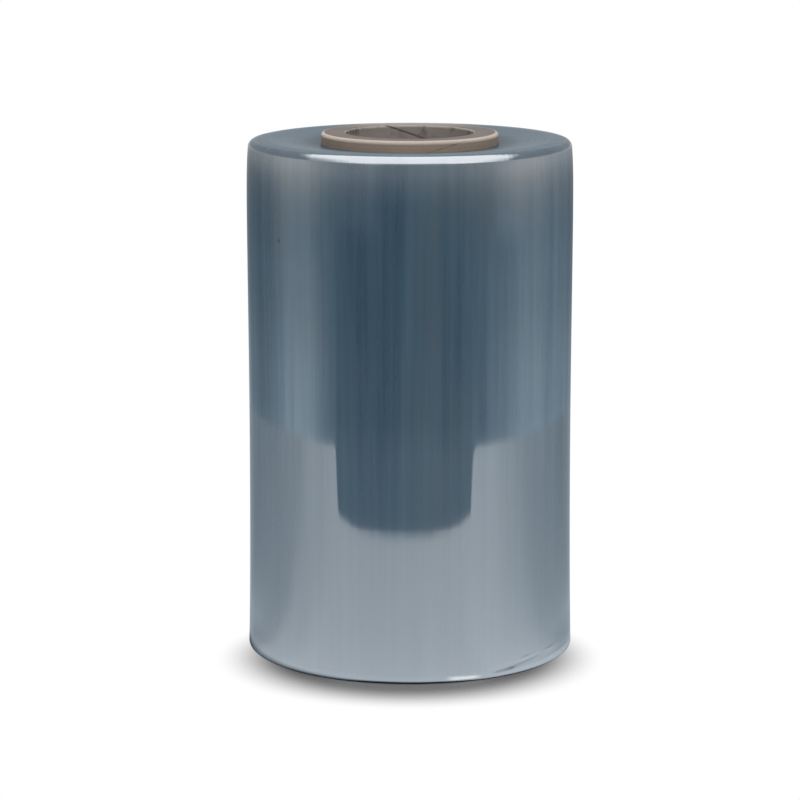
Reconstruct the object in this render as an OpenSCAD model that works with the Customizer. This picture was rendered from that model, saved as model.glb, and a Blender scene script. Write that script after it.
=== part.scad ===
// A roll of lay-flat shrink film tubing wound on a spiral paperboard core. It stands on one end.
// All sizes are in millimetres. The origin is where the core's axis meets the surface that the
// roll stands on, and +Z runs up the axis. The roll is seen from -Y, so +Y is its back.

/* [Film] */
// Width of the flattened tubing, from the foot to the crown of the top end
film_width = 304.8; // [200:0.1:450]
// Diameter of the wound roll above its waist
roll_diameter = 193.2; // [160:0.1:280]
// How far the roll draws in at its waist, on the radius
waist_in = 0.4; // [0:0.1:1.5]
// Height of the waist above the foot
waist_height = 140; // [100:1:180]
// How far the foot has spread where the roll stood on it, on the radius
foot_flare = 1.15; // [0:0.05:3]
// Height over which the spread of the foot dies away
flare_reach = 40; // [20:1:60]
// How far the outer turns slump in below the shoulder, on the radius
shoulder_slump = 1.6; // [0.5:0.1:3]
// Depth over which that slump dies away
slump_reach = 11; // [6:0.5:20]
// Radius of the shoulder
shoulder_radius = 4; // [2:0.5:8]
// Thickness of the free tail, which is the step that it makes down the back
tail_step = 0.3; // [0.1:0.05:0.8]

/* [Turns on the ends] */
// Radial distance from one turn that shows to the next
turn_pitch = 4; // [2.5:0.5:6]
// Height of the lip that each turn has over the next
turn_lip = 0.3; // [0.1:0.05:0.8]
// How far the first turns on the core lie below the crown of the top end
dish_depth = 2.6; // [0:0.1:6]
// Radial distance from the shoulder in to the crown of the top end
crown_inset = 12; // [8:0.5:18]
// How far the top end falls from its crown to the shoulder
rim_drop = 0.4; // [0:0.1:2.5]

/* [Core] */
// Bore of the core, the standard 3 in
core_bore = 76.2; // [50:0.1:80]
// Wall of the core
core_wall = 14.2; // [8:0.1:16]
// How far the core stands proud of the crown of the film
core_proud_top = 3.8; // [0:0.1:8]
// How far the core stands proud of the foot of the film
core_proud_foot = 1; // [0.5:0.1:6]
// Rounding of the core's outer edges
core_edge_radius = 1.8; // [0.5:0.1:3]
// Chamfer of the core's inner edges
core_inner_chamfer = 0.5; // [0.2:0.1:1.5]

/* [Hidden] */
$fn = 96;
side_steps = 7;
shoulder_steps = 3;
shoulder_sweep = 75;
riser_share = 0.15;
past = 10;

roll_r = roll_diameter / 2;
core_r = core_bore / 2 + core_wall;
core_length = core_proud_foot + film_width + core_proud_top;
film_foot = core_proud_foot;
film_crown = film_foot + film_width;

// The side runs up to the shoulder, and the shoulder up to the rim.
rim_z = film_crown - rim_drop;
shoulder_z = rim_z - shoulder_radius;
shoulder_centre_r = side_radius(shoulder_z) - shoulder_radius;

// The turns run from a level band on the core to a level band inside the shoulder. Each turn
// moves out by one pitch, so both bands are wide enough for that. The crown is one turn's lip.
first_turn_r = core_r + turn_pitch;
turn_count = floor((shoulder_centre_r - turn_pitch / 2 - first_turn_r) / turn_pitch);
last_turn_r = first_turn_r + turn_count * turn_pitch;
crown_turn = round((shoulder_centre_r + shoulder_radius - crown_inset - turn_lip_r(0)) / turn_pitch);
crown_r = turn_lip_r(crown_turn);

// Radius of the roll's side at a height: its waist, its spread foot and its slumped outer turns
function side_radius(z) =
    roll_r
    - waist_in * pow(cos(90 * min(abs(z - film_foot - waist_height) / waist_height, 1)), 2)
    + foot_flare * exp(-(z - film_foot) / flare_reach)
    - shoulder_slump * exp(-(film_crown - z) / slump_reach);

// Height of a station on the side. The stations are close together near both ends.
function side_station(i) = film_foot + (shoulder_z - film_foot) * (1 - cos(180 * i / side_steps)) / 2;

function shoulder_point(a) =
    [shoulder_centre_r + shoulder_radius * cos(a), shoulder_z + shoulder_radius * sin(a)];

// Height of the top end at a radius: a dish round the core, the crown, and the fall to the rim
function top_z(r) = r < crown_r
    ? film_crown - dish_depth * (crown_r - r) / (crown_r - first_turn_r)
    : film_crown - rim_drop * pow((r - crown_r) / (last_turn_r - crown_r), 2);

// Each turn starts below the end's surface, comes up to it at its lip and falls to the next turn.
function turn_start(k) = first_turn_r + k * turn_pitch;
function turn_lip_r(k) = turn_start(k) + turn_pitch * (1 - riser_share);
top_turns = [
    for (k = [0 : turn_count - 1]) each [
        [turn_start(k), top_z(turn_start(k)) - turn_lip],
        [turn_lip_r(k), top_z(turn_lip_r(k))]
    ]
];
foot_turns = [
    for (k = [0 : turn_count - 1]) each [
        [turn_start(k), film_foot + turn_lip],
        [turn_lip_r(k), film_foot]
    ]
];

function reversed(list) = [for (i = [len(list) - 1 : -1 : 0]) list[i]];

// Turns an outline through half a turn. The left half is wound about the core's axis. The right
// half is wound about a centre half a growth further back, with its outline moved out by as much,
// so it meets the left half in front and comes out one whole growth further at the back.
module half_turn(left, growth) {
    shift = left ? 0 : growth / 2;
    translate([0, shift, 0])
        rotate([0, 0, left ? 90 : -90])
            rotate_extrude(angle = 180)
                intersection() {
                    translate([shift, 0])
                        children();
                    translate([0, -past])
                        square([roll_r + 2 * past, film_crown + 3 * past]);
                }
}

// Both ends of the roll with their turns, wider than the roll itself
module ends_outline() {
    core_level = film_crown - dish_depth - turn_lip;
    polygon(concat(
        [[-past, film_foot + turn_lip]],
        foot_turns,
        [[last_turn_r, film_foot], [roll_r + past, film_foot]],
        [[roll_r + past, rim_z], [last_turn_r, rim_z]],
        reversed(top_turns),
        [[first_turn_r, core_level], [-past, core_level]]
    ));
}

// The roll's side with its shoulder, taller than the roll itself
module side_outline() {
    polygon(concat(
        [[-past, film_foot - past], [side_radius(film_foot), film_foot - past]],
        [for (i = [0 : side_steps]) [side_radius(side_station(i)), side_station(i)]],
        [for (i = [1 : shoulder_steps]) shoulder_point(shoulder_sweep * i / shoulder_steps)],
        [shoulder_point(shoulder_sweep) + past * [-1, 1], [-past, film_crown + 2 * past]]
    ));
}

module film_half(left) {
    intersection() {
        half_turn(left, turn_pitch)
            ends_outline();
        half_turn(left, tail_step)
            side_outline();
    }
}

module film_roll() {
    color("lightsteelblue")
        difference() {
            union() {
                film_half(true);
                film_half(false);
            }
            translate([0, 0, film_foot - past])
                cylinder(h = film_width + 2 * past, r = core_r);
        }
}

// What comes off a square corner to leave a quarter circle
module corner_waste(size) {
    difference() {
        square(size + past);
        circle(size);
    }
}

module core_end_waste() {
    translate([core_r - core_edge_radius, core_length - core_edge_radius])
        corner_waste(core_edge_radius);
    translate([core_bore / 2, core_length])
        rotate(45)
            square(core_inner_chamfer * sqrt(2), center = true);
}

module core() {
    color("tan")
        rotate_extrude()
            difference() {
                translate([core_bore / 2, 0])
                    square([core_wall, core_length]);
                core_end_waste();
                translate([0, core_length])
                    mirror([0, 1])
                        core_end_waste();
            }
}

core();
film_roll();
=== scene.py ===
import math

import bpy
import numpy as np
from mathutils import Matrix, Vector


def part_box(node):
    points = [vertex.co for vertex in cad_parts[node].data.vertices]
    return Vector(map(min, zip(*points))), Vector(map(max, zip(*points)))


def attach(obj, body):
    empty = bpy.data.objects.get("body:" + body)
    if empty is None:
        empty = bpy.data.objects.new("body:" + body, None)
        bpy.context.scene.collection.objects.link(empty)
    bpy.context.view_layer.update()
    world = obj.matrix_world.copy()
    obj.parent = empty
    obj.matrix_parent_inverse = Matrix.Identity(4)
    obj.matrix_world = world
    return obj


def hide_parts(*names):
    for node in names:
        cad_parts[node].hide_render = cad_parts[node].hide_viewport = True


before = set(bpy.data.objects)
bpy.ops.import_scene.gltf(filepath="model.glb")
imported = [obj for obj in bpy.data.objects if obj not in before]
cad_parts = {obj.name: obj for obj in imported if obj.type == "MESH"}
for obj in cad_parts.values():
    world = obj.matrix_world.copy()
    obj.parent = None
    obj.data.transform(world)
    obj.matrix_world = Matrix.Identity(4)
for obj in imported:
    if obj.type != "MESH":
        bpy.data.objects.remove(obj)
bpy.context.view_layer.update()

# The camera. It stands in front of the roll and a little above its top end, and looks down on it
# through a long lens, so that the far edges of the top end and of the core are just in line.
eye_distance = 1.7374
eye_height = 0.4943
eye_pitch = math.radians(11.264)
sensor_width = 36
lens_length = 132.77
picture_side = 800
axis_column = 409.8
bpy.ops.object.camera_add(
    location=(0, -eye_distance, eye_height), rotation=(math.pi / 2 - eye_pitch, 0, 0)
)
camera = bpy.context.object
camera.name = "camera"
camera.data.sensor_width = sensor_width
camera.data.lens = lens_length
camera.data.shift_x = (picture_side / 2 - axis_column) / picture_side
bpy.context.scene.camera = camera

# The core. It is a tube wound from strips of grey-brown paperboard, glued ply on ply along a
# helix. Its ends are sawn square, their outer edges are rolled round, and the butt joints of the
# inner ply and of the skin run round the bore and the outside as narrow seams.
core_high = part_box("core")[1]
core_r = core_high.x
core_length = core_high.z
bore_r = 0.0381
core_edge_r = 0.0018
core_chamfer = 0.0005
edge_r = core_r - core_edge_r
board_ply = 0.0009
ply_relief = 0.00008
ply_lead = 0.083
bore_seam_turn = math.radians(22)
seam_column = 20.5
seams_apart = math.radians(200)
seam_width = 0.0012
seam_flank = 0.0003
seam_depth = 0.0004
core_columns = 132
core_row = 0.0021
whole_turn = 2 * math.pi
seam_gap = 1e-4
weld_reach = 2e-6


def draw(name, points):
    """A new mesh: a chain of vertices, each one extruded from the last, in the plane x = 0."""
    bpy.ops.object.select_all(action="DESELECT")
    bpy.ops.mesh.primitive_plane_add(size=core_r)
    piece = bpy.context.object
    piece.name = piece.data.name = name
    bpy.ops.object.mode_set(mode="EDIT")
    bpy.ops.mesh.merge(type="CENTER")
    here = (0, 0)
    for there in points:
        step = (0, there[0] - here[0], there[1] - here[1])
        if here == (0, 0):
            bpy.ops.transform.translate(value=step)
        else:
            bpy.ops.mesh.extrude_region_move(TRANSFORM_OT_translate={"value": step})
        here = there
    return piece


def turn(piece, columns):
    """Spins the chain round the axis, and gives its vertices' radius, angle and height.

    The sweep stops a little short of a whole turn, so that its first and last columns stay apart
    until the vertices have been put in place. The angle is counted from the back.
    """
    sweep = whole_turn - seam_gap
    bpy.ops.mesh.select_all(action="SELECT")
    bpy.ops.mesh.spin(
        steps=columns, angle=sweep, center=(0, 0, 0), axis=(0, 0, 1), use_auto_merge=False
    )
    bpy.ops.object.mode_set(mode="OBJECT")
    place = np.zeros(len(piece.data.vertices) * 3)
    piece.data.vertices.foreach_get("co", place)
    x, y, z = place.reshape(-1, 3).T
    slack = seam_gap / 4
    angle = (np.arctan2(x, y) + slack) % whole_turn - slack
    return np.hypot(x, y), angle * whole_turn / sweep, z


def shape(piece, radius, angle, height, crease, step=False):
    """Puts the vertices in place, closes the seam or its step, and smooths all but sharp edges."""
    place = np.stack([-radius * np.sin(angle), radius * np.cos(angle), height], axis=1)
    piece.data.vertices.foreach_set("co", place.ravel())
    piece.data.update()
    bpy.ops.object.mode_set(mode="EDIT")
    bpy.ops.mesh.select_mode(type="VERT")
    bpy.ops.mesh.select_all(action="SELECT")
    bpy.ops.mesh.remove_doubles(threshold=weld_reach)
    if step:
        bpy.ops.mesh.select_all(action="DESELECT")
        bpy.ops.mesh.select_non_manifold()
        bpy.ops.mesh.fill()
    bpy.ops.mesh.select_all(action="SELECT")
    bpy.ops.mesh.normals_make_consistent(inside=False)
    bpy.ops.object.mode_set(mode="OBJECT")
    bpy.ops.object.shade_smooth_by_angle(angle=crease)


def ease(value, start, stop):
    """0 up to start and 1 from stop on, with a smooth rise between them."""
    share = np.clip((value - start) / (stop - start), 0, 1)
    return share * share * (3 - 2 * share)


def arc(centre, size, start, stop, steps):
    """Points on an arc in the plane of the outline, from one angle to another, in degrees."""
    angles = [math.radians(start + (stop - start) * i / steps) for i in range(steps + 1)]
    return [(centre[0] + size * math.cos(a), centre[1] + size * math.sin(a)) for a in angles]


def rows(low, high, step):
    """Evenly spaced places from low to high."""
    count = max(1, round(abs(high - low) / step))
    return [low + (high - low) * i / count for i in range(count + 1)]


sawn_rs = rows(bore_r + core_chamfer, edge_r, board_ply / 2)
relief = [ply_relief * (i % 2) for i in range(len(sawn_rs))]
outline = [(bore_r, z) for z in rows(core_chamfer, core_length - core_chamfer, core_row)]
outline += [(r, core_length - drop) for r, drop in zip(sawn_rs, relief)]
outline += arc((edge_r, core_length - core_edge_r), core_edge_r, 80, 0, 8)
outline += [(core_r, z) for z in rows(core_length - core_edge_r, core_edge_r, core_row)[1:-1]]
outline += arc((edge_r, core_edge_r), core_edge_r, 0, -80, 8)
outline += [(r, drop) for r, drop in reversed(list(zip(sawn_rs, relief)))]
outline.append(outline[0])

core = draw("core_tube", outline)
radius, angle, height = turn(core, core_columns)
column = whole_turn / core_columns
bore_seam = seam_column * column
skin_seam = bore_seam + round(seams_apart / column) * column
on_bore = 1 - ease(radius, bore_r, bore_r + core_chamfer / 2)
on_skin = ease(radius, edge_r, core_r)
for seam, into_wall in ((bore_seam, on_bore), (skin_seam, -on_skin)):
    off = (angle - seam + math.pi) % whole_turn - math.pi
    side = np.sign(off)
    floor_of_seam = np.abs(off) < column
    lip_of_seam = (np.abs(off) < 2 * column) & ~floor_of_seam
    angle[floor_of_seam] = (seam + side * (seam_width / 2 - seam_flank) / radius)[floor_of_seam]
    angle[lip_of_seam] = (seam + side * seam_width / 2 / radius)[lip_of_seam]
    radius += seam_depth * into_wall * floor_of_seam
angle += bore_seam_turn - bore_seam + (height - core_length) * whole_turn / ply_lead
shape(core, radius, angle, height, math.radians(40))
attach(core, "root")
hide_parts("core")


class Wire:
    """One output socket in a material's nodes. Sums of wires and numbers add their own nodes."""

    def __init__(self, socket):
        self.socket = socket

    def node(self, kind, sockets, output=0, stops=None, **settings):
        """Any other node: its type, the values or wires of its sockets, and its settings."""
        made = self.socket.id_data.nodes.new(kind)
        for name, setting in settings.items():
            setattr(made, name, setting)
        if stops:
            ramp = made.color_ramp
            while len(ramp.elements) < len(stops):
                ramp.elements.new(0.5)
            for element, (at, colour) in zip(ramp.elements, stops):
                element.position = at
                element.color = colour
        for name, value in sockets.items():
            if isinstance(value, Wire):
                self.socket.id_data.links.new(value.socket, made.inputs[name])
            else:
                made.inputs[name].default_value = value
        return Wire(made.outputs[output])

    def maths(self, operation, *others):
        """What a Math node makes of this wire and of the values or wires that follow."""
        return self.node("ShaderNodeMath", dict(enumerate((self, *others))), operation=operation)

    def __add__(self, other):
        return self.maths("ADD", other)

    def __sub__(self, other):
        return self.maths("SUBTRACT", other)

    def __rsub__(self, other):
        return self.node("ShaderNodeMath", {0: other, 1: self}, operation="SUBTRACT")

    def __mul__(self, other):
        return self.maths("MULTIPLY", other)

    def __truediv__(self, other):
        return self.maths("DIVIDE", other)

    def __rtruediv__(self, other):
        return self.node("ShaderNodeMath", {0: other, 1: self}, operation="DIVIDE")

    __radd__ = __add__
    __rmul__ = __mul__

    def rise(self, start, stop):
        """0 up to start and 1 from stop on, smoothly. A stop below start turns it round."""
        sockets = {"Value": self, "From Min": start, "From Max": stop}
        return self.node("ShaderNodeMapRange", sockets, interpolation_type="SMOOTHSTEP")

    def blend(self, off, on):
        """The colour off where this wire is 0 and the colour on where it is 1."""
        sockets = {0: self, 6: off, 7: on}
        return self.node("ShaderNodeMix", sockets, output=2, data_type="RGBA")

    def noise(self, scale, detail=2.0, roughness=0.5, stretch=(1, 1, 1)):
        """Cloudy values about 0.5 at places given by this wire."""
        spread = self.node("ShaderNodeMapping", {"Vector": self, "Scale": stretch})
        sockets = {"Vector": spread, "Scale": scale, "Detail": detail, "Roughness": roughness}
        return self.node("ShaderNodeTexNoise", sockets)


def finish(piece, name):
    """A new material on the piece. It gives the shader and the wire of each point's place."""
    material = bpy.data.materials.new(name)
    material.use_nodes = True
    piece.data.materials.clear()
    piece.data.materials.append(material)
    nodes = material.node_tree.nodes
    return nodes["Principled BSDF"], Wire(nodes.new("ShaderNodeTexCoord").outputs["Object"])


def connect(shader, **sockets):
    """Links wires to the shader's sockets."""
    for name, wire in sockets.items():
        target = shader.inputs[name.replace("_", " ")]
        shader.id_data.links.new(wire.socket, target)


def rgb(red, green, blue):
    """A colour from its levels in a picture, 0 to 255, as the shaders take it."""
    levels = [level / 255 for level in (red, green, blue)]
    return (*[v / 12.92 if v < 0.04045 else ((v + 0.055) / 1.055) ** 2.4 for v in levels], 1)


def polar(place):
    """Distance from the axis, bearing from the front, height, east and north, as wires."""
    parts = place.node("ShaderNodeSeparateXYZ", {"Vector": place}).socket.node.outputs
    east, north, up = (Wire(parts[i]) for i in range(3))
    away = (east * east + north * north).maths("SQRT")
    return away, east.maths("ARCTAN2", 0 - north), up, east, north


shader, place = finish(core, "paperboard")
out_r, bearing, up, east, north = polar(place)
fibre = place.noise(900, 4, 0.7, (1, 1, 0.35))
cloud = place.noise(60, 3, 0.6)
skin = out_r.rise(edge_r + 0.0012, core_r)
# The rolled-round outer edge of the top end is painted near white: a painted highlight.
edge_highlight = out_r.rise(edge_r - 0.0004, edge_r + 0.0006)
edge_highlight *= up.rise(core_length - 0.0026, core_length - 0.0014)
lining = out_r.rise(bore_r + core_chamfer, bore_r)
turned = (0 - east).maths("ARCTAN2", north) / whole_turn
seam_at = turned - bore_seam_turn / whole_turn - (up - core_length) / ply_lead
from_seam = (seam_at + 0.5).maths("FRACT") - 0.5
seam_shade = from_seam.maths("ABSOLUTE").rise(0.011, 0.004) * lining
# Dark blotches near the top of the bore.
dark_blotches = place.noise(75, 3, 0.6).rise(0.5, 0.66) * lining * up.rise(core_length - 0.012, core_length)
board = cloud.blend(rgb(104, 97, 92), rgb(120, 113, 107))
# Towards the back the board is painted lighter: painted light on the far side of the ends.
board = north.rise(0.02, core_r).blend(board, rgb(176, 166, 156))
board = skin.blend(board, cloud.blend(rgb(174, 150, 129), rgb(192, 168, 147)))
board = edge_highlight.blend(board, rgb(233, 214, 197))
# The bore is painted much lighter than the board: painted light, standing in for the light that
# falls into it.
board = lining.blend(board, cloud.blend(rgb(170, 159, 152), rgb(190, 178, 169)))
# A thin band at the top of the bore is painted pale.
pale_bore_top = lining * up.rise(core_length - 0.0016, core_length - 0.0008)
board = pale_bore_top.blend(board, rgb(236, 224, 213))
board = (dark_blotches * 0.75).blend(board, rgb(62, 55, 52))
board = (seam_shade * 0.7).blend(board, rgb(70, 60, 56))
board = (fibre * 0.35).blend(board, rgb(112, 99, 88))
connect(shader, Base_Color=board)
shader.inputs["Roughness"].default_value = 0.75
shader.inputs["Specular IOR Level"].default_value = 0.3
ply_line = (out_r * (whole_turn / board_ply)).maths("SINE")
bump = {"Height": fibre * 0.6 + ply_line * 0.15, "Strength": 0.5, "Distance": 0.0002}
connect(shader, Normal=place.node("ShaderNodeBump", bump))

# The film. It is one length of clear, blue-tinted shrink tubing, laid flat and wound tight on the
# core, so that its sides are as glossy as glass. The edges of its turns show on both ends as one
# fine spiral, and its free tail runs down the back.
film_low, film_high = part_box("film_roll")
foot = film_low.z
crown = film_high.z
roll_r = 0.0966
waist_in = 0.0004
waist_height = 0.14
foot_flare = 0.00115
flare_reach = 0.04
shoulder_slump = 0.0016
slump_reach = 0.011
shoulder_r = 0.004
tail_step = 0.0003
turn_pitch = 0.004
fine_turns = 3
riser_share = 0.45
turn_lip = 0.0001
fine_lip = 0.00005
dish_depth = 0.0026
crown_r = 0.0837
rim_drop = 0.0004
foot_edge_r = 0.0006
low_side = 0.04
hem_height = 0.01
side_row = 0.0035
low_row = 0.0016
hem_row = 0.0004
hem_sag = 0.0007
band_depth = 0.000005
lobe_depth = 0.00004
# Each fold of the hem: where it starts and stops past the front, its height above the foot there
# and how that climbs, how far it stands out, or in below 0, and its reach up and down
hem_folds = [
    (0.46, 0.95, 0.003, 0.0098, -0.00028, 0.0013),
    (0.5, 1.35, 0.0016, 0.0034, 0.00016, 0.0009),
    (0.68, 0.9, 0.0066, 0.009, 0.0003, 0.0008),
    (0.93, 1.12, 0.0072, 0.01, 0.0003, 0.0007),
]
fold_in = 0.09
fold_out = 0.12
film_columns = 192
rim_z = crown - rim_drop


def side_radius(z):
    """The roll's side at a height: its waist, its spread foot and its slumped outer turns."""
    waist = np.cos(np.pi / 2 * np.minimum(np.abs(z - foot - waist_height) / waist_height, 1)) ** 2
    flare = np.exp(-(z - foot) / flare_reach)
    slump = np.exp(-(crown - z) / slump_reach)
    return roll_r - waist_in * waist + foot_flare * flare - shoulder_slump * slump


def top_height(r):
    """The top end at a radius: a dish round the core, the crown, and the fall to the rim."""
    dish = dish_depth * (crown_r - r) / (crown_r - core_r - turn_pitch)
    fall = rim_drop * ((r - crown_r) / (shoulder_in_r - crown_r)) ** 2
    return crown - np.where(r < crown_r, dish, fall)


def turn_rs(limit):
    """Radii of the fine turns' starts and lips, from one pitch inside the core to one past limit."""
    count = math.ceil((limit - core_r) / turn_pitch + 1) * fine_turns
    fine = turn_pitch / fine_turns
    starts = [core_r - turn_pitch + fine * i for i in range(count + 1)]
    return [r for start in starts for r in (start, start + fine * (1 - riser_share))]


shoulder_z = rim_z - shoulder_r
shoulder_in_r = float(side_radius(shoulder_z)) - shoulder_r
foot_in_r = float(side_radius(foot)) - foot_edge_r
side_rows = rows(shoulder_z, foot + low_side, side_row)
side_rows += rows(foot + low_side, foot + hem_height, low_row)[1:]
side_rows += rows(foot + hem_height, foot + foot_edge_r, hem_row)[1:]
outline = [(r, rim_z) for r in turn_rs(shoulder_in_r)]
shoulder = arc((shoulder_in_r, shoulder_z), shoulder_r, 80, 10, 7)
outline += [(r + 2 * turn_pitch, z) for r, z in shoulder]
outline += [(roll_r + 2 * turn_pitch, z) for z in side_rows]
outline += [(roll_r + 2 * turn_pitch, foot + foot_edge_r / 3)]
outline += [(r, foot) for r in reversed(turn_rs(foot_in_r))]
outline.append(outline[0])

film = draw("wound_film", outline)
radius, angle, height = turn(film, film_columns)

# The right half of the roll is wound about a centre that lies further back, so it moves out by one
# whole growth from the front to the back. On the ends that is a turn's pitch, and on the side the
# step of the free tail.
growth = np.where(angle > np.pi, (1 + np.cos(angle)) / 2, 0)
on_top = np.abs(height - rim_z) < weld_reach / 2
on_foot = np.abs(height - foot) < weld_reach / 2
on_end = on_top | on_foot

# Each turn starts below the end's surface and comes up to it at its lip. Finer turns are cut into
# it, and all of them fade out towards the rim.
share = ((radius - core_r) / turn_pitch) % 1
lip_share = 1 - riser_share / fine_turns
coarse = np.where(share < lip_share, 1 - share / lip_share, 0)
fine = np.where((share * fine_turns + 1e-3) % 1 < 0.5, 1, 0)
wound_limit = np.where(on_top, shoulder_in_r, foot_in_r)
wound_r = np.clip(radius + turn_pitch * growth, core_r, wound_limit)
near_core = 1 - ease(wound_r, core_r, core_r + 0.001)
near_rim = 1 - ease(wound_r, crown_r - 0.014, crown_r - 0.003)
uneven = 1 + 0.6 * np.sin(wound_r * 2900) * np.sin(wound_r * 1270 + 1)
depth = (coarse * turn_lip + fine * fine_lip * uneven) * (1 - near_core) + turn_lip * near_core
depth *= near_rim
end_z = np.where(on_top, top_height(wound_r) - depth, foot + depth)

# The side has faint bands and lobes from the winding, which die away on one side of the tail. The
# hem at the foot is loose in places, where it sags and folds.
side_r = np.where(
    height > shoulder_z,
    shoulder_in_r + np.sqrt(np.maximum(shoulder_r**2 - (height - shoulder_z) ** 2, 0)),
    side_radius(height),
)
side_r -= np.where(height < foot + foot_edge_r / 2, foot_edge_r * 0.3, 0)
ends_fade = ease(height, foot, foot + 0.02) * (1 - ease(height, shoulder_z - 0.01, shoulder_z))
bands = np.sin(height * 520) * np.sin(height * 173 + 2) + 0.5 * np.sin(height * 1130 + 1)
lobes = np.sin(7 * angle + 3 * height) + 0.6 * np.sin(17 * angle + 1) + 0.4 * np.sin(29 * angle)
past_tail = 1 - np.exp(-40 * angle**2)
side_r += ends_fade * (band_depth * bands + lobe_depth * lobes) * past_tail
side_r += tail_step * growth
past_front = angle - np.pi
for start, stop, low, climb, bulge, reach in hem_folds:
    along = ease(past_front, start, start + fold_in) * (1 - ease(past_front, stop - fold_out, stop))
    across = (height - foot - low - climb * (past_front - start)) / reach
    side_r += bulge * along * np.exp(-(across**2))
radius = np.where(on_end, wound_r, side_r)
height = np.where(on_end, end_z, height)
off_front = np.abs(past_front)
loose = ease(off_front, 0.15, 0.5) * (1 - ease(off_front, 1.3, 1.6))
loose *= ease(radius, foot_in_r - 0.004, foot_in_r) * (1 - ease(height, foot, foot + 0.005))
height -= hem_sag * loose
shape(film, radius, angle, height, math.radians(30), step=True)
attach(film, "root")
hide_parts("film_roll")

shader, place = finish(film, "clear_film")
out_r, bearing, up, east, north = polar(place)
ends = up.rise(rim_z - 0.006, rim_z - 0.0035) + up.rise(foot + 0.0015, foot + 0.0005)
cut_edges = ends * out_r.rise(shoulder_in_r + 0.0005, shoulder_in_r - 0.0025)
cloud = place.noise(18, 3, 0.6, (1, 1, 0.3))
streak = place.noise(120, 4, 0.65, (1, 1, 0.022))
band = place.noise(40, 2, 0.5, (1, 1, 0.05))
calm = up.rise(0.14, 0.07) * 0.2
tone = (cloud * 0.25 + streak * 0.5 + band * 0.25).rise(0.32 - calm, calm + 0.68)
depths = tone.blend(rgb(50, 84, 108), rgb(88, 116, 132))
warmth = place.noise(26, 2, 0.5, (1, 1, 0.25)).rise(0.5, 0.72) * 0.35
depths = warmth.blend(depths, rgb(96, 106, 112))
hem = up.rise(foot + 0.005, foot + 0.0015) * (cloud * 0.8 + 0.2)
depths = (hem * 0.5).blend(depths, rgb(124, 142, 156))
# A small wedge of the hem, right of the front, is painted near white: a painted highlight.
hem_glint = (bearing - 0.33).maths("ABSOLUTE").rise(0.13, 0.05)
hem_glint *= (up - foot).rise(0.0004, 0.001) * (up - foot + bearing * 0.003).rise(0.0042, 0.0028)
depths = hem_glint.blend(depths, rgb(246, 249, 252))
speck_at = (-0.0748, -0.0604, 0.2535)
speck = place.node(
    "ShaderNodeVectorMath", {0: place, 1: speck_at}, output="Value", operation="DISTANCE"
)
depths = speck.rise(0.0016, 0.0007).blend(depths, rgb(34, 42, 50))
connect(shader, Base_Color=depths)
shader.inputs["Roughness"].default_value = 0.06
shader.inputs["IOR"].default_value = 3.0
fold = place.noise(80, 2, 0.5, (1, 1, 0.05))
crackle = place.noise(1100, 2, 0.5) * up.rise(foot + 0.012, foot)
wrinkle = fold + streak * 0.05 + crackle * 0.03
bump = {"Height": wrinkle, "Strength": 0.6, "Distance": 0.0004}
dents = place.node("ShaderNodeBump", bump)
connect(shader, Normal=dents)

# The cut edges of the turns are duller than the side. Their fine lines follow the same spiral as
# the lips, because the right half of the roll grows out by one turn from the front to the back.
grown = (1 - bearing.maths("COSINE")) * east.rise(0, 0.0005) * (turn_pitch / 2)
on_turn = place.node("ShaderNodeCombineXYZ", {"X": out_r - grown})
lines = (on_turn.noise(750, 3, 0.7).rise(0.35, 0.65) + on_turn.noise(180, 2, 0.5)) * 0.5
cut = lines.blend(rgb(62, 82, 96), rgb(104, 124, 136))
# Close to the core the cut edges are painted darker: painted shade from the core.
cut = out_r.rise(core_r + 0.02, core_r + 0.001).blend(cut, rgb(44, 60, 72))
cut_sockets = {"Base Color": cut, "Roughness": 0.3, "IOR": 1.45, "Normal": dents}
cut_shader = place.node("ShaderNodeBsdfPrincipled", cut_sockets)
both = {0: cut_edges, 1: Wire(shader.outputs["BSDF"]), 2: cut_shader}
film_shader = place.node("ShaderNodeMixShader", both)
tree = shader.id_data
tree.links.new(film_shader.socket, tree.nodes["Material Output"].inputs["Surface"])

# The studio. The roll stands on a white floor, with a painted shadow round its foot, under a soft
# light that hangs high up and a little behind it, with a weaker one in front. The gloss of the film
# mirrors the floor, a low grey surround with a few pale strips and a dark flag in front, and a white
# tent that reaches overhead.
def studio_paint(thing, name):
    """A new material for the studio. It gives its empty tree and the wire of each point's place."""
    material = bpy.data.materials.new(name)
    material.use_nodes = True
    thing.data.materials.append(material)
    tree = material.node_tree
    tree.nodes.clear()
    return tree, Wire(tree.nodes.new("ShaderNodeTexCoord").outputs["Object"])


def show(tree, surface):
    """Ends the studio material's tree."""
    out = tree.nodes.new("ShaderNodeOutputMaterial")
    tree.links.new(surface.socket, out.inputs["Surface"])


def round_about(bearing, levels, most=1):
    """A grey for each bearing, from the back by the left, the front and the right. White is most."""
    turned = bearing / whole_turn + 0.5
    stops = [(at, (level / most, level / most, level / most, 1)) for at, level in levels]
    return turned.node("ShaderNodeValToRGB", {0: turned}, stops=stops)


def mirrored_only(card):
    """Leaves a card out of everything but reflections."""
    card.visible_camera = False
    card.visible_diffuse = False
    card.visible_transmission = False
    card.visible_shadow = False


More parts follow.
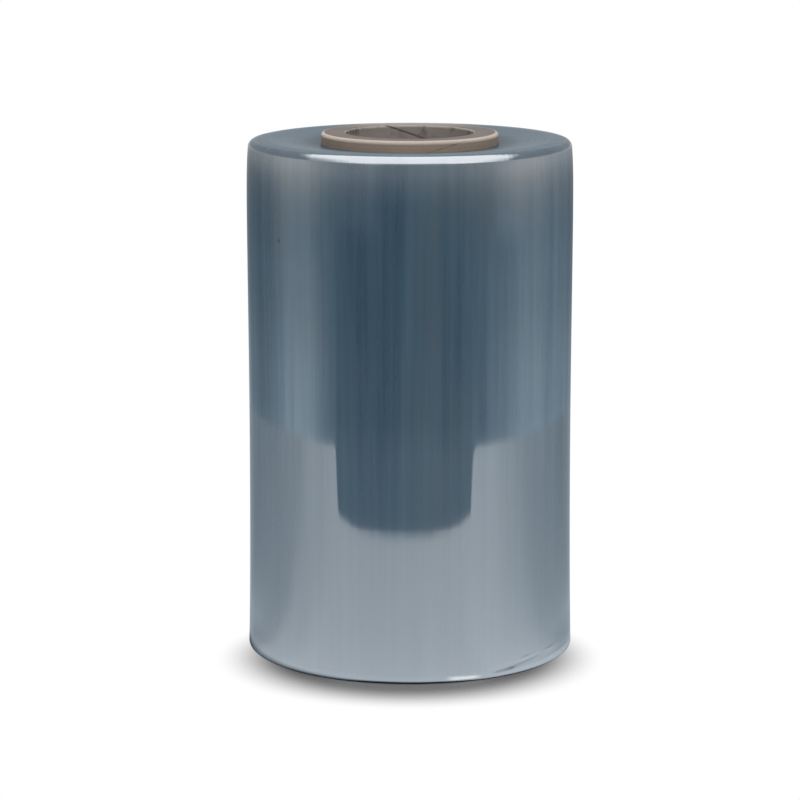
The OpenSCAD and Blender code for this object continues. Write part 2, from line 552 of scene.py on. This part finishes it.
bpy.ops.mesh.primitive_plane_add(size=40)
floor = bpy.context.object
floor.name = "floor"
tree, place = studio_paint(floor, "white_floor")
path = tree.nodes.new("ShaderNodeLightPath").outputs
away, bearing, up, east, north = polar(place)
floor_levels = [
    (0.00, 0.50), (0.139, 0.43), (0.186, 0.53), (0.217, 0.59), (0.247, 0.60), (0.274, 0.65),
    (0.30, 0.84), (0.33, 0.88), (0.36, 0.97), (0.50, 0.96), (0.57, 1.0), (0.603, 1.06),
    (0.64, 1.04), (0.671, 0.96), (0.704, 0.84), (0.728, 0.72), (0.756, 0.65), (0.80, 0.58),
    (0.861, 0.45), (1.00, 0.50),
]
# In reflections the floor glows, brighter in front of the roll than behind it; close to the roll,
# and beside it towards the back, the glow is painted darker as painted shadow.
pale = round_about(bearing, floor_levels, most=2) * (0.2 / (away + 0.05) + 1.72)
contact = (0 - east).rise(-0.06, 0.06) * 0.008 + 0.1
side_dark = bearing.maths("ABSOLUTE").rise(1.1, 1.7) * away.rise(0.16, 0.105) * 0.3
mirrored = pale * away.rise(0.0965, contact) * (1 - side_dark)
facing = bearing.maths("COSINE") * 0.5 + 0.5
tint = facing.rise(0.1, 0.9).blend(rgb(230, 244, 255), rgb(242, 249, 255))
glow = place.node("ShaderNodeEmission", {"Color": tint, "Strength": mirrored})
# To the camera the floor is painted grey, darker still beside the roll, in a patch placed like the
# roll's shadow; beyond it the floor glows plain white. This is painted shadow.
side_shadow = east.maths("ABSOLUTE").rise(0.03, 0.08) * away.rise(0.122, 0.1)
shade = side_shadow.blend((0.362, 0.345, 0.33, 1), (0.2, 0.187, 0.175, 1))
seen = Wire(path["Is Camera Ray"]).blend(rgb(232, 232, 232), shade)
matte = place.node("ShaderNodeBsdfDiffuse", {"Color": seen})
white = place.node("ShaderNodeEmission", {"Color": (1, 1, 1, 1), "Strength": 1.0})
shadow_north = north + 0.039
shadow_east = (east + 0.0003) * 0.93
spread = (shadow_east * shadow_east + shadow_north * shadow_north).maths("SQRT")
far = Wire(path["Is Camera Ray"]) * spread.rise(0.066, 0.109)
lit = place.node("ShaderNodeMixShader", {0: far, 1: matte, 2: white})
show(tree, place.node("ShaderNodeMixShader", {0: Wire(path["Is Glossy Ray"]), 1: lit, 2: glow}))

bpy.ops.mesh.primitive_cylinder_add(
    vertices=180, radius=0.455, depth=0.32, end_fill_type="NOTHING", location=(0, 0, 0.16)
)
surround = bpy.context.object
surround.name = "surround"
bpy.ops.object.transform_apply(location=True)
tree, place = studio_paint(surround, "surround_grey")
away, bearing, up, east, north = polar(place)
strip_levels = [
    (0.00, 0.30), (0.06, 0.32), (0.12, 0.20), (0.17, 0.17), (0.205, 0.24), (0.235, 0.34),
    (0.27, 0.42), (0.305, 0.44), (0.345, 0.22), (0.375, 0.08), (0.50, 0.07), (0.58, 0.09),
    (0.625, 0.16), (0.66, 0.24), (0.71, 0.40), (0.745, 0.44), (0.80, 0.36), (0.87, 0.28),
    (0.95, 0.24), (1.00, 0.26),
]
strips = round_about(bearing, strip_levels)
streaks = place.noise(26, 4, 0.65, (1, 1, 0.1))
low_glow = up.rise(0.17, 0.08) * 0.5
high_shade = up.rise(0.17, 0.205) * up.rise(0.25, 0.21) * 0.14
side_on = bearing.maths("ABSOLUTE").rise(0.5, 1.7)
top_glow = up.rise(0.23, 0.31) * (side_on * 0.26 + 0.22)
pale = strips * (low_glow - high_shade + 1) * (streaks * 0.7 + 0.65) + top_glow
pale += up.rise(0.085, 0.05) * 0.07
pale += bearing.rise(0.93, 1.02) * bearing.rise(1.5, 1.2) * up.rise(0.19, 0.215) * 0.1
pale += (bearing + 0.6).maths("ABSOLUTE").rise(0.3, 0.1) * up.rise(0.2, 0.23) * 0.07
hue = up.rise(0.19, 0.27).blend(rgb(218, 240, 255), rgb(246, 247, 246))
emit = place.node("ShaderNodeEmission", {"Color": hue, "Strength": pale * 1.1})
clear = place.node("ShaderNodeBsdfTransparent", {})
flag_half = up.rise(0.055, 0.085) * 0.24 + 0.77
flag_centre = up.rise(0.055, 0.085) * 0.12 - 0.07
off_flag = (bearing - flag_centre).maths("ABSOLUTE")
bowl = (off_flag / flag_half).maths("POWER", 4.0) * 0.0135 + 0.0045
flank = off_flag.rise(flag_half - 0.03, flag_half + 0.04) * 0.06
lower_edge = (bowl + flank).maths("MINIMUM", 0.061)
on_card = (up - lower_edge).rise(-0.002, 0.003)
show(tree, place.node("ShaderNodeMixShader", {0: on_card, 1: clear, 2: emit}))
mirrored_only(surround)

tent_radius = 1.6
bpy.ops.mesh.primitive_uv_sphere_add(segments=96, ring_count=48, radius=tent_radius)
tent = bpy.context.object
tent.name = "white_tent"
tree, place = studio_paint(tent, "tent_white")
away, bearing, up, east, north = polar(place)
east, north, up = east / tent_radius, north / tent_radius, up / tent_radius
edge = 0.76 - east.maths("ABSOLUTE") * 0.88 - east * east * 0.3
sides = (0 - east).rise(0.48, 0.88) * 0.8 + east.rise(0.62, 1.02) * 0.74
low_edge = 0.3 - east.rise(0.3, 0.8) * 0.26 - (0 - east).rise(0.2, 0.7) * 0.08
low = up.rise(low_edge - 0.12, low_edge + 0.12) * north.rise(0.0, -0.3) + north.rise(-0.3, 0.0)
roof = (edge - north).rise(-0.08, 0.12) * (1 - sides) * low
bright = roof * 2.5 + up.rise(0.45, 0.3) * 0.07 + 0.37
show(tree, place.node("ShaderNodeEmission", {"Color": rgb(250, 251, 253), "Strength": bright}))
mirrored_only(tent)

bpy.ops.object.light_add(type="AREA", location=(0, 0.55, 3.3))
key = bpy.context.object
key.name = "key_light"
key.data.shape = "RECTANGLE"
key.data.size = 1.1
key.data.size_y = 1.1
key.data.energy = 36
key.visible_glossy = False
bpy.ops.object.light_add(
    type="AREA", location=(0.3, -1.9, 2.3), rotation=(math.radians(42), 0, math.radians(9))
)
fill = bpy.context.object
fill.name = "fill_light"
fill.data.size = 1.2
fill.data.energy = 20
fill.visible_glossy = False

world = bpy.data.worlds.new("studio")
bpy.context.scene.world = world
world.use_nodes = True
room = world.node_tree.nodes["Background"]
path = world.node_tree.nodes.new("ShaderNodeLightPath").outputs
dim = rgb(150, 154, 160)
air = Wire(path["Is Camera Ray"]).blend(dim, (1, 1, 1, 1))
world.node_tree.links.new(air.socket, room.inputs["Color"])
bpy.context.scene.view_settings.view_transform = "Standard"
